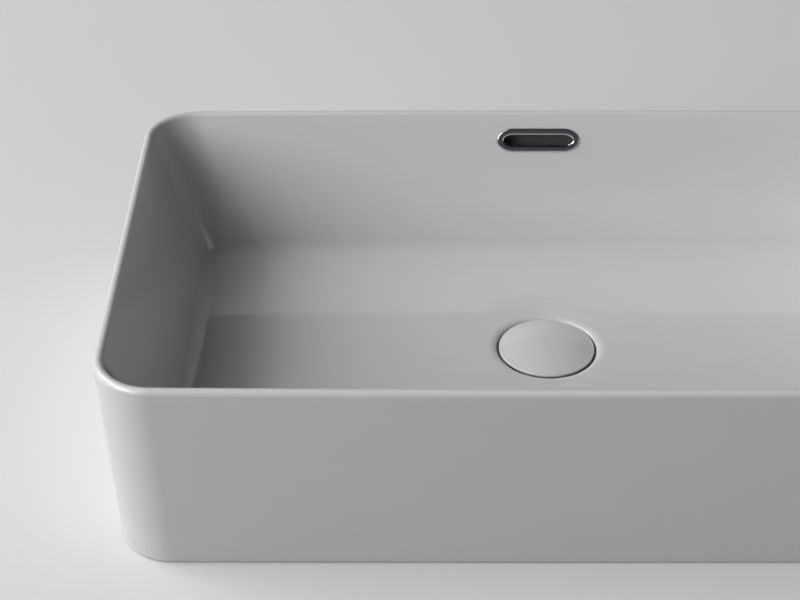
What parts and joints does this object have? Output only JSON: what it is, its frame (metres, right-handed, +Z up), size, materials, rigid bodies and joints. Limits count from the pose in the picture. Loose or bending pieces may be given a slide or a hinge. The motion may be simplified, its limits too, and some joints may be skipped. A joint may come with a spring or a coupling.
{
  "type": "countertop basin",
  "caption": "Rectangular glazed ceramic countertop basin with thin rounded rim, slotted overflow with metal trim, and a push-to-open waste under a ceramic cap.",
  "frame": {"origin": "middle of the basin's foot, on the countertop", "axes": "+Z up, +X to the right along the long side, the front of the basin faces -Y"},
  "size_m": [0.6, 0.363, 0.19],
  "materials": {
    "glazed_ceramic": "white glazed vitreous china, glossy",
    "chrome": "polished chrome plate on brass",
    "brass": "turned brass, plain",
    "rubber": "black moulded rubber, matt",
    "silicone": "white silicone bond, satin",
    "acetal": "moulded white acetal, satin",
    "spring_steel": "drawn stainless spring wire"
  },
  "bodies": {
    "basin": {"basin_body": "glazed_ceramic", "overflow_ring": "chrome", "overflow_grip": "rubber", "return_spring": "spring_steel", "cartridge_housing": "brass", "cartridge_bush": "acetal", "stem_o_ring": "rubber", "cartridge_end": "acetal", "housing_o_ring": "rubber", "waste_body": "chrome", "flange_gasket": "rubber", "cone_gasket": "rubber", "slip_washer": "acetal", "backnut": "brass"},
    "plug": {"plug_cap": "glazed_ceramic", "cap_bond": "silicone", "cap_plate": "chrome", "plug_seal": "rubber", "plunger": "brass", "stem_locknut": "brass"},
    "rotor": {"index_rotor": "acetal"}
  },
  "joints": [
    {"name": "plug_lift", "type": "slide", "parent": "basin", "child": "plug", "axis": [0, 0, 1], "range_m": [0, 0.009], "deforming": ["return_spring"]},
    {"name": "rotor_turn", "type": "hinge", "parent": "plug", "child": "rotor", "pos_m": [0, 0.011, -0.0034], "axis": [0, 0, 1], "range_deg": [0, 45]}
  ],
  "couplings": [
    {"joint": "rotor_turn", "follows": "plug_lift", "rad_per_m": 87.266}
  ]
}
